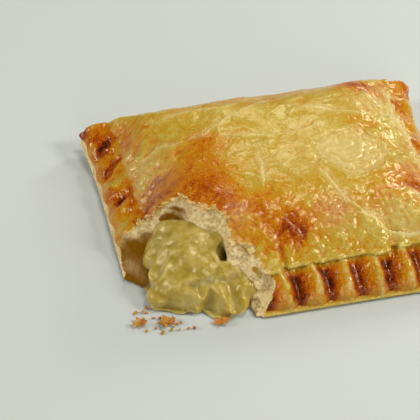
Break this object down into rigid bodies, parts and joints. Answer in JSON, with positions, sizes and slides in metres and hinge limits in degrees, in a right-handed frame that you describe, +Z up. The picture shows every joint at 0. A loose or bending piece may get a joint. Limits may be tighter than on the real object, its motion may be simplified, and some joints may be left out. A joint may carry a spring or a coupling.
{
  "type": "cheese and onion slice",
  "caption": "Rectangular puff pastry slice with a domed lid and fluted crimped sides, one corner torn open on a soft cheese, potato and onion filling.",
  "frame": {"origin": "on the tray plane under the middle of the parcel's rectangle", "axes": "+X along the parcel's long side, -Y towards the long crimped side with the torn corner at its -X end, +Z up"},
  "size_m": [0.147, 0.118, 0.0329],
  "materials": {
    "pastry": "satin",
    "filling": "gloss"
  },
  "bodies": {
    "root": {"pastry": "pastry", "filling": "filling"}
  },
  "joints": []
}
